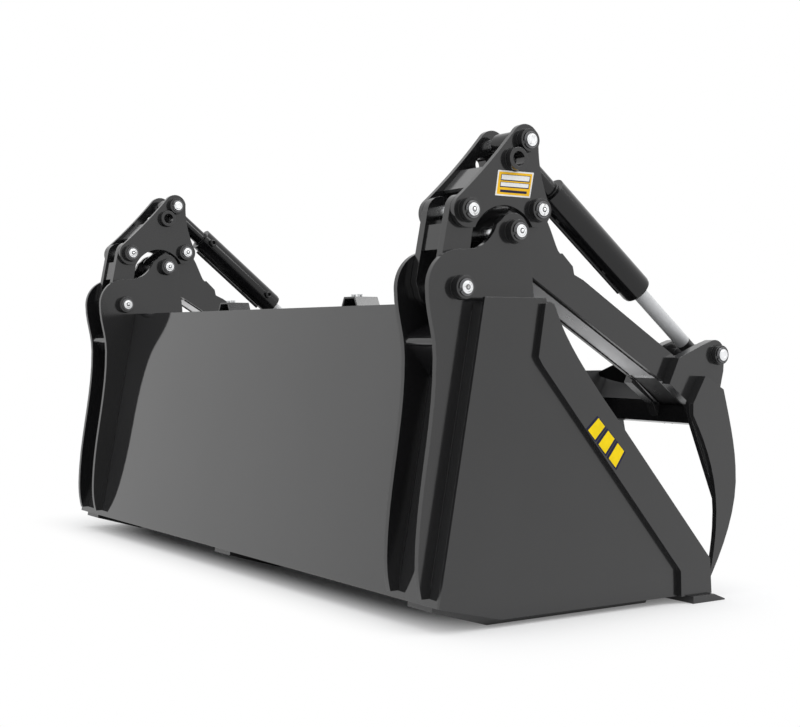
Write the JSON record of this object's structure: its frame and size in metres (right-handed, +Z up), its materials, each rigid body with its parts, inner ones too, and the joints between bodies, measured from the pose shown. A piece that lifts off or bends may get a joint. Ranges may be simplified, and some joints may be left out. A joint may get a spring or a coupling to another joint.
{
  "type": "grapple bucket",
  "caption": "Wide steel loader bucket with a hydraulic grapple on each side, each swung by a cylinder through a link and triangle.",
  "frame": {"origin": "on the ground under the middle wear bar, half way across the bucket", "axes": "+X to the bucket's right as a person behind it faces its cutting edge, +Y forward to the cutting edge, +Z up"},
  "size_m": [2.524, 1.0822, 1.302],
  "materials": {
    "back_paint": "semi-gloss black paint",
    "bucket_paint": "semi-gloss black paint",
    "side_paint": "semi-gloss black paint",
    "side_bar_paint": "semi-gloss black paint",
    "edge_paint": "semi-gloss black paint",
    "wear_paint": "semi-gloss black paint",
    "guide_paint": "semi-gloss black paint",
    "bolt_steel": "bright machined steel",
    "mount_paint": "semi-gloss black paint",
    "brace_paint": "semi-gloss black paint",
    "pin_steel": "bright machined steel",
    "link_paint": "semi-gloss black paint",
    "triangle_paint": "semi-gloss black paint",
    "cross_paint": "semi-gloss black paint",
    "arm_paint": "semi-gloss black paint",
    "cover_paint": "semi-gloss black paint",
    "claw_paint": "semi-gloss black paint",
    "tine_paint": "semi-gloss black paint",
    "tube_paint": "semi-gloss black paint",
    "cylinder_paint": "semi-gloss black paint",
    "line_steel": "satin black paint",
    "rod_chrome": "polished chrome plating",
    "inner_steel": "bright machined steel"
  },
  "bodies": {
    "bucket": {"back_plate": "back_paint", "floor_plate": "bucket_paint", "top_lip": "bucket_paint", "side_plate_right": "side_paint", "side_plate_left": "side_paint", "side_bar_right": "side_bar_paint", "side_bar_left": "side_bar_paint", "cutting_edge": "edge_paint", "wear_bars": "wear_paint", "hose_guides": "guide_paint", "guide_bolts": "bolt_steel", "mount_plate_outer_right": "mount_paint", "mount_plate_inner_right": "mount_paint", "mount_brace_right": "brace_paint", "mount_pins_right": "pin_steel", "mount_plate_outer_left": "mount_paint", "mount_plate_inner_left": "mount_paint", "mount_brace_left": "brace_paint", "mount_pins_left": "pin_steel"},
    "arm_right": {"arm_plates_right": "arm_paint", "arm_bottom_plate_right": "cover_paint", "arm_top_plate_right": "cover_paint", "arm_pins_right": "pin_steel", "claw_plates_right": "claw_paint", "tine_outer_right": "tine_paint", "tine_inner_right": "tine_paint", "cross_tube_right": "tube_paint", "head_gusset_right": "tube_paint"},
    "triangle_right": {"triangle_plates_right": "triangle_paint", "triangle_cross_plate_right": "cross_paint", "triangle_pins_right": "pin_steel"},
    "link_right": {"link_plates_right": "link_paint", "link_web_right": "link_paint", "link_pin_right": "pin_steel"},
    "barrel_right": {"cylinder_barrel_right": "cylinder_paint", "cylinder_fittings_right": "line_steel", "cylinder_gland_right": "cylinder_paint"},
    "rod_right": {"cylinder_rod_right": "rod_chrome", "cylinder_piston_right": "inner_steel"},
    "arm_left": {"arm_plates_left": "arm_paint", "arm_bottom_plate_left": "cover_paint", "arm_top_plate_left": "cover_paint", "arm_pins_left": "pin_steel", "claw_plates_left": "claw_paint", "tine_outer_left": "tine_paint", "tine_inner_left": "tine_paint", "cross_tube_left": "tube_paint", "head_gusset_left": "tube_paint"},
    "triangle_left": {"triangle_plates_left": "triangle_paint", "triangle_cross_plate_left": "cross_paint", "triangle_pins_left": "pin_steel"},
    "link_left": {"link_plates_left": "link_paint", "link_web_left": "link_paint", "link_pin_left": "pin_steel"},
    "barrel_left": {"cylinder_barrel_left": "cylinder_paint", "cylinder_fittings_left": "line_steel", "cylinder_gland_left": "cylinder_paint"},
    "rod_left": {"cylinder_rod_left": "rod_chrome", "cylinder_piston_left": "inner_steel"}
  },
  "joints": [
    {"name": "grapple_swing_right", "type": "hinge", "parent": "bucket", "child": "arm_right", "pos_m": [1.0915, -0.226, 1.019], "axis": [1, 0, 0], "range_deg": [0, 75]},
    {"name": "link_swing_right", "type": "hinge", "parent": "bucket", "child": "link_right", "pos_m": [1.0915, -0.399, 0.87], "axis": [1, 0, 0], "range_deg": [0, 31.8]},
    {"name": "triangle_swing_right", "type": "hinge", "parent": "arm_right", "child": "triangle_right", "pos_m": [1.0915, -0.147, 1.078], "axis": [1, 0, 0], "range_deg": [-62.4, 0]},
    {"name": "barrel_swing_right", "type": "hinge", "parent": "triangle_right", "child": "barrel_right", "pos_m": [1.0915, -0.187, 1.258], "axis": [1, 0, 0], "range_deg": [0, 57.1]},
    {"name": "rod_slide_right", "type": "slide", "parent": "barrel_right", "child": "rod_right", "axis": [0, -0.7768, 0.6297], "range_m": [0, 0.176]},
    {"name": "grapple_swing_left", "type": "hinge", "parent": "bucket", "child": "arm_left", "pos_m": [-1.0915, -0.226, 1.019], "axis": [1, 0, 0], "range_deg": [0, 75]},
    {"name": "link_swing_left", "type": "hinge", "parent": "bucket", "child": "link_left", "pos_m": [-1.0915, -0.399, 0.87], "axis": [1, 0, 0], "range_deg": [0, 31.8]},
    {"name": "triangle_swing_left", "type": "hinge", "parent": "arm_left", "child": "triangle_left", "pos_m": [-1.0915, -0.147, 1.078], "axis": [1, 0, 0], "range_deg": [-62.4, 0]},
    {"name": "barrel_swing_left", "type": "hinge", "parent": "triangle_left", "child": "barrel_left", "pos_m": [-1.0915, -0.187, 1.258], "axis": [1, 0, 0], "range_deg": [0, 57.1]},
    {"name": "rod_slide_left", "type": "slide", "parent": "barrel_left", "child": "rod_left", "axis": [0, -0.7768, 0.6297], "range_m": [0, 0.176]}
  ],
  "couplings": [
    {"joint": "link_swing_right", "follows": "grapple_swing_right", "ratio": 0.42358},
    {"joint": "triangle_swing_right", "follows": "grapple_swing_right", "ratio": -0.83162},
    {"joint": "barrel_swing_right", "follows": "grapple_swing_right", "ratio": 0.76111},
    {"joint": "rod_slide_right", "follows": "grapple_swing_right", "m_per_rad": 0.13441},
    {"joint": "link_swing_left", "follows": "grapple_swing_left", "ratio": 0.42358},
    {"joint": "triangle_swing_left", "follows": "grapple_swing_left", "ratio": -0.83162},
    {"joint": "barrel_swing_left", "follows": "grapple_swing_left", "ratio": 0.76111},
    {"joint": "rod_slide_left", "follows": "grapple_swing_left", "m_per_rad": 0.13441}
  ]
}
